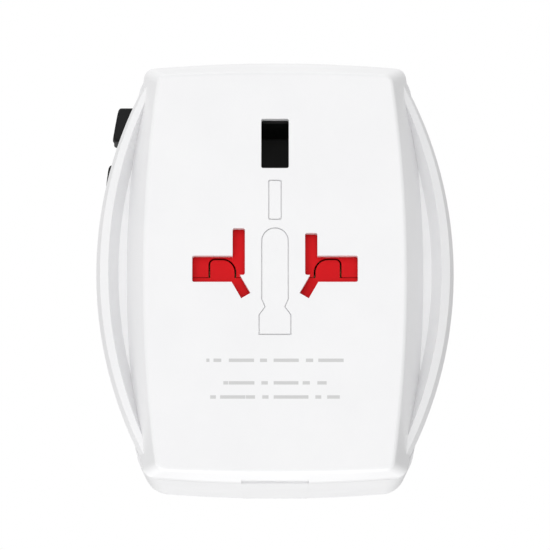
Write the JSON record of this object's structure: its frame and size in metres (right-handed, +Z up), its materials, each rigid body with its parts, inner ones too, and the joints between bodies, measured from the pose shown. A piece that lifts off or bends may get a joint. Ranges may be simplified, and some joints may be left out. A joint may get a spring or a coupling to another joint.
{
  "type": "universal travel adapter",
  "caption": "Pocket travel adapter block with shuttered multi-standard socket face and slide-out round, rectangular and flat-blade plug pins worked by side knobs.",
  "frame": {"origin": "middle of the underside of the body's box", "axes": "+Z up the tall side, +X to the right as seen from the socket face, +Y from the socket face to the plug side"},
  "size_m": [0.0642, 0.05, 0.0759],
  "materials": {
    "white_plastic": "satin",
    "red_plastic": "satin",
    "black_plastic": "matte",
    "plated_brass": "bright nickel plate",
    "brass": "stamped",
    "steel": "zinc plated",
    "spring_steel": "drawn wire",
    "fuse_ceramic": "glazed ceramic"
  },
  "bodies": {
    "housing": {"front_cover": "white_plastic", "rear_housing": "white_plastic", "contact_carrier": "black_plastic", "live_contact": "brass", "neutral_contact": "brass", "live_busbar": "brass", "neutral_busbar": "brass", "fuse_tube": "fuse_ceramic", "fuse_end_caps": "plated_brass", "fuse_clips": "brass", "housing_screws": "steel", "detent_springs": "spring_steel", "upper_shutter_springs": "spring_steel", "lower_shutter_springs": "spring_steel"},
    "upper_shutter": {"upper_shutter": "red_plastic"},
    "lower_shutter": {"lower_shutter": "red_plastic"},
    "uk_plug": {"uk_carriage": "black_plastic", "uk_knob": "black_plastic", "uk_pins": "plated_brass", "uk_pin_sleeves": "black_plastic", "uk_earth_pin": "black_plastic", "uk_wipers": "brass"},
    "euro_plug": {"euro_carriage": "black_plastic", "euro_knob": "black_plastic", "euro_pins": "plated_brass", "euro_pin_sleeves": "black_plastic", "euro_wipers": "brass"},
    "us_plug": {"us_carriage": "black_plastic", "us_knob": "black_plastic", "us_wipers": "brass"},
    "us_blade_left": {"us_turret_left": "black_plastic", "us_blade_left": "plated_brass"},
    "us_blade_right": {"us_turret_right": "black_plastic", "us_blade_right": "plated_brass"}
  },
  "joints": [
    {"name": "uk_slide", "type": "slide", "parent": "housing", "child": "uk_plug", "axis": [0, 1, 0], "range_m": [0, 0.02]},
    {"name": "euro_slide", "type": "slide", "parent": "housing", "child": "euro_plug", "axis": [0, 1, 0], "range_m": [0, 0.02]},
    {"name": "us_slide", "type": "slide", "parent": "housing", "child": "us_plug", "axis": [0, 1, 0], "range_m": [0, 0.02]},
    {"name": "us_turn_left", "type": "hinge", "parent": "us_plug", "child": "us_blade_left", "pos_m": [-0.00635, 0.01, 0.018], "axis": [0, 1, 0], "range_deg": [-30, 0]},
    {"name": "us_turn_right", "type": "hinge", "parent": "us_plug", "child": "us_blade_right", "pos_m": [0.00635, 0.01, 0.018], "axis": [0, 1, 0], "range_deg": [0, 30]},
    {"name": "upper_shutter_slide", "type": "slide", "parent": "housing", "child": "upper_shutter", "axis": [0, 0, 1], "range_m": [0, 0.0087], "stiffness_N_per_m": 60, "springref_m": -0.004, "deforming": ["upper_shutter_springs"]},
    {"name": "lower_shutter_slide", "type": "slide", "parent": "housing", "child": "lower_shutter", "axis": [0, 0, -1], "range_m": [0, 0.0087], "stiffness_N_per_m": 60, "springref_m": -0.004, "deforming": ["lower_shutter_springs"]}
  ],
  "couplings": [
    {"joint": "lower_shutter_slide", "follows": "upper_shutter_slide", "ratio": 1}
  ]
}
